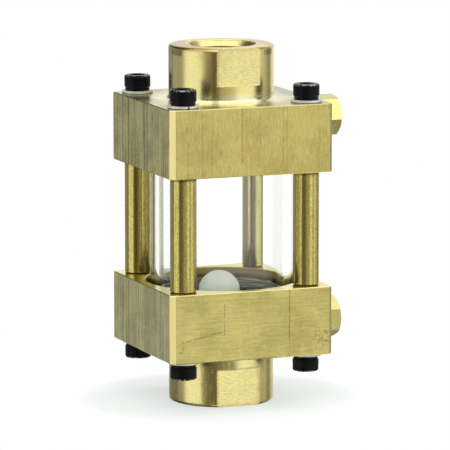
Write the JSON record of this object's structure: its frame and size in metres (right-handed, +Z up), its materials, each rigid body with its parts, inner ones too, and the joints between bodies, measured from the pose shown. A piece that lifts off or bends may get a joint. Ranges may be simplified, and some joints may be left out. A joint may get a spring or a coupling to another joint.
{
  "type": "sight flow indicator",
  "caption": "Sight flow indicator: square brass end blocks with threaded ports clamp a glass tube between pillars, and the flow lifts a ball inside it.",
  "frame": {"origin": "centre of the inlet port's end face, at the bottom of the lower spigot", "axes": "+Z up along the flow axis, +X towards the side with the hexagonal stop screws, -Y out of the wide front face"},
  "size_m": [0.0795, 0.065, 0.1366],
  "materials": {
    "brass_block": "milled and turned, light tarnish",
    "brass_pillar": "drawn and turned",
    "brass_hex": "drawn hexagon bar",
    "black_steel": "black oxide",
    "bright_steel": "bright spring steel",
    "clear_glass": "clear tube",
    "gasket_rubber": "flat nitrile sheet",
    "copper_seal": "annealed copper",
    "ball_plastic": "translucent natural plastic"
  },
  "bodies": {
    "housing": {"lower_block": "brass_block", "upper_block": "brass_block", "pillar_front_left": "brass_pillar", "pillar_front_right": "brass_pillar", "pillar_back_left": "brass_pillar", "pillar_back_right": "brass_pillar", "lower_stop_screw": "brass_hex", "upper_stop_screw": "brass_hex", "lower_stop_seal": "copper_seal", "upper_stop_seal": "copper_seal", "lower_cap_screws": "black_steel", "upper_cap_screws": "black_steel", "lower_spring_washers": "bright_steel", "upper_spring_washers": "bright_steel", "lower_gasket": "gasket_rubber", "upper_gasket": "gasket_rubber", "sight_glass": "clear_glass"},
    "ball": {"flow_ball": "ball_plastic"}
  },
  "joints": [
    {"name": "ball_lift", "type": "slide", "parent": "housing", "child": "ball", "axis": [0, 0, 1], "range_m": [0, 0.0533]}
  ]
}
